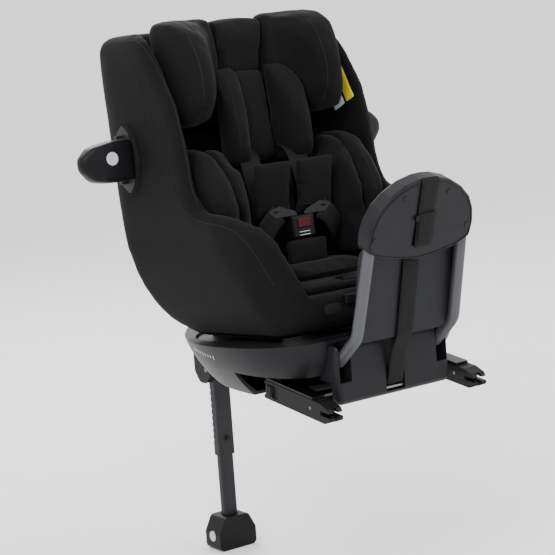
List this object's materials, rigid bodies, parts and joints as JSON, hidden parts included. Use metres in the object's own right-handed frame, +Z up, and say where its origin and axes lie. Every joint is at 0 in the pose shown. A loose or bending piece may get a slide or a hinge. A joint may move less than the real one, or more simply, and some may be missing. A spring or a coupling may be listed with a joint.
{
  "type": "convertible child car seat",
  "caption": "Rotating child car seat with ISOFIX arms, support leg, rebound bar, reclining shell, sliding headrest, infant inserts and five-point harness.",
  "frame": {"origin": "underside of the base, below the turntable's centre", "axes": "+Z up, +Y towards the support leg, -Y towards the ISOFIX arms, +X to the right seen from the support leg looking at the seat's back"},
  "size_m": [0.592, 0.625, 0.9175],
  "materials": {
    "shell_fabric": "black woven seat cover",
    "cushion_fabric": "charcoal melange knit over foam",
    "insert_fabric": "soft dark knit over foam",
    "pad_fabric": "padded black sleeve",
    "webbing": "woven black webbing",
    "base_plastic": "fine textured dark plastic",
    "tub_plastic": "textured grey plastic",
    "shell_plastic": "satin black plastic",
    "grey_plastic": "satin grey plastic",
    "red_plastic": "satin red plastic",
    "tube_metal": "satin silver tube",
    "leg_metal": "satin grey paint",
    "steel": "zinc plated steel",
    "rubber": "matt black rubber"
  },
  "bodies": {
    "base": {"base_skirt": "base_plastic", "base_tub": "tub_plastic", "rear_housing": "base_plastic", "rear_housing_pins": "steel", "base_rubber_feet": "rubber", "base_steelwork": "steel", "turntable_bearing": "steel", "turntable_pivot_post": "steel", "leg_hinge_bracket": "base_plastic", "leg_hinge_pin": "steel", "tether_strap_lower": "webbing"},
    "isofix_frame": {"isofix_arm_left": "base_plastic", "isofix_arm_right": "base_plastic", "isofix_cross_bar": "steel", "jaw_hook_pins": "steel"},
    "hook_left": {"jaw_hook_left": "steel"},
    "hook_right": {"jaw_hook_right": "steel"},
    "slider_left": {"release_slider_left": "grey_plastic"},
    "slider_right": {"release_slider_right": "grey_plastic"},
    "rebound_bar": {"rebound_tube": "tube_metal", "rebound_head": "shell_plastic", "rebound_lower_panel": "shell_plastic", "rebound_screws": "steel", "tether_strap_upper": "webbing", "tether_strap_slider": "shell_plastic"},
    "leg_upper": {"leg_upper_tube": "leg_metal"},
    "leg_lower": {"leg_lower_tube": "leg_metal"},
    "leg_foot": {"leg_foot": "shell_plastic", "leg_foot_side_caps": "grey_plastic"},
    "leg_button": {"leg_adjust_button": "grey_plastic"},
    "turntable": {"turntable_disc": "base_plastic", "recline_cradle": "shell_plastic"},
    "turn_lever": {"turn_release_lever": "grey_plastic"},
    "seat": {"seat_shell": "shell_plastic", "seat_cover": "shell_fabric", "seat_cushion": "cushion_fabric", "back_cushion": "cushion_fabric", "side_cushions": "cushion_fabric", "insert_seat_pad": "insert_fabric", "insert_back_pad": "insert_fabric", "insert_bolsters": "insert_fabric", "shoulder_straps": "webbing", "shoulder_pads": "pad_fabric", "harness_buckle": "grey_plastic", "harness_tongues": "steel", "crotch_pad": "pad_fabric", "lap_and_crotch_straps": "webbing", "pod_mount_plates": "grey_plastic", "pod_hinge_pins": "steel"},
    "recline_handle": {"recline_handle": "shell_plastic"},
    "headrest": {"headrest_shell": "shell_plastic", "headrest_centre_pad": "cushion_fabric", "headrest_wings": "cushion_fabric", "head_insert_pillow": "insert_fabric", "head_insert_wings": "insert_fabric"},
    "headrest_lever": {"headrest_lever": "grey_plastic"},
    "pod_left": {"side_pod_left": "shell_plastic"},
    "pod_right": {"side_pod_right": "shell_plastic"},
    "buckle_button": {"buckle_button": "red_plastic"},
    "adjuster_button": {"harness_adjuster_button": "grey_plastic"}
  },
  "joints": [
    {"name": "isofix_slide", "type": "slide", "parent": "base", "child": "isofix_frame", "axis": [0, -0.9925, -0.1219], "range_m": [-0.03, 0.045]},
    {"name": "hook_left_turn", "type": "hinge", "parent": "isofix_frame", "child": "hook_left", "pos_m": [-0.14, -0.2524, 0.00562], "axis": [-1, 0, 0], "range_deg": [0, 12]},
    {"name": "hook_right_turn", "type": "hinge", "parent": "isofix_frame", "child": "hook_right", "pos_m": [0.14, -0.2524, 0.00562], "axis": [-1, 0, 0], "range_deg": [0, 12]},
    {"name": "release_left_slide", "type": "slide", "parent": "isofix_frame", "child": "slider_left", "axis": [0, -0.9925, -0.1219], "range_m": [0, 0.0102]},
    {"name": "release_right_slide", "type": "slide", "parent": "isofix_frame", "child": "slider_right", "axis": [0, -0.9925, -0.1219], "range_m": [0, 0.0102]},
    {"name": "rebound_fold", "type": "hinge", "parent": "base", "child": "rebound_bar", "pos_m": [0, -0.254, 0.065], "axis": [1, 0, 0], "range_deg": [0, 60]},
    {"name": "leg_fold", "type": "hinge", "parent": "base", "child": "leg_upper", "pos_m": [0, 0.218, -0.025], "axis": [1, 0, 0], "range_deg": [-80, 0]},
    {"name": "leg_extend", "type": "slide", "parent": "leg_upper", "child": "leg_lower", "axis": [0, 0, -1], "range_m": [-0.04, 0.07]},
    {"name": "foot_press", "type": "slide", "parent": "leg_lower", "child": "leg_foot", "axis": [0, 0, 1], "range_m": [0, 0.006], "stiffness_N_per_m": 1500},
    {"name": "leg_button_press", "type": "slide", "parent": "leg_upper", "child": "leg_button", "axis": [0, 1, 0], "range_m": [0, 0.002], "stiffness_N_per_m": 800},
    {"name": "turntable_spin", "type": "hinge", "parent": "base", "child": "turntable", "pos_m": [0, 0, 0.075], "axis": [0, 0.0872, 0.9962], "continuous": true},
    {"name": "turn_lever_pull", "type": "slide", "parent": "turntable", "child": "turn_lever", "axis": [0, -0.9962, 0.0872], "range_m": [0, 0.008], "stiffness_N_per_m": 400},
    {"name": "recline", "type": "hinge", "parent": "turntable", "child": "seat", "pos_m": [0, 0.03051, 0.42367], "axis": [1, 0, 0], "range_deg": [-12, 0]},
    {"name": "recline_pull", "type": "slide", "parent": "seat", "child": "recline_handle", "axis": [0, -0.9962, 0.0872], "range_m": [0, 0.008], "stiffness_N_per_m": 400},
    {"name": "headrest_slide", "type": "slide", "parent": "seat", "child": "headrest", "axis": [0, 0.0872, 0.9962], "range_m": [0, 0.12]},
    {"name": "headrest_lever_lift", "type": "slide", "parent": "headrest", "child": "headrest_lever", "axis": [0, 0.0872, 0.9962], "range_m": [0, 0.006], "stiffness_N_per_m": 400},
    {"name": "pod_left_fold", "type": "hinge", "parent": "seat", "child": "pod_left", "pos_m": [-0.21, 0.13248, 0.36154], "axis": [0, 0.0872, 0.9962], "range_deg": [-75, 0]},
    {"name": "pod_right_fold", "type": "hinge", "parent": "seat", "child": "pod_right", "pos_m": [0.21, 0.13248, 0.36154], "axis": [0, 0.0872, 0.9962], "range_deg": [0, 75]},
    {"name": "buckle_press", "type": "slide", "parent": "seat", "child": "buckle_button", "axis": [0, 0.9962, -0.0872], "range_m": [0, 0.002], "stiffness_N_per_m": 800},
    {"name": "adjuster_press", "type": "slide", "parent": "seat", "child": "adjuster_button", "axis": [0, -0.0872, -0.9962], "range_m": [0, 0.003], "stiffness_N_per_m": 500}
  ],
  "couplings": [
    {"joint": "release_left_slide", "follows": "hook_left_turn", "m_per_rad": 0.0477},
    {"joint": "release_right_slide", "follows": "hook_right_turn", "m_per_rad": 0.0477}
  ]
}
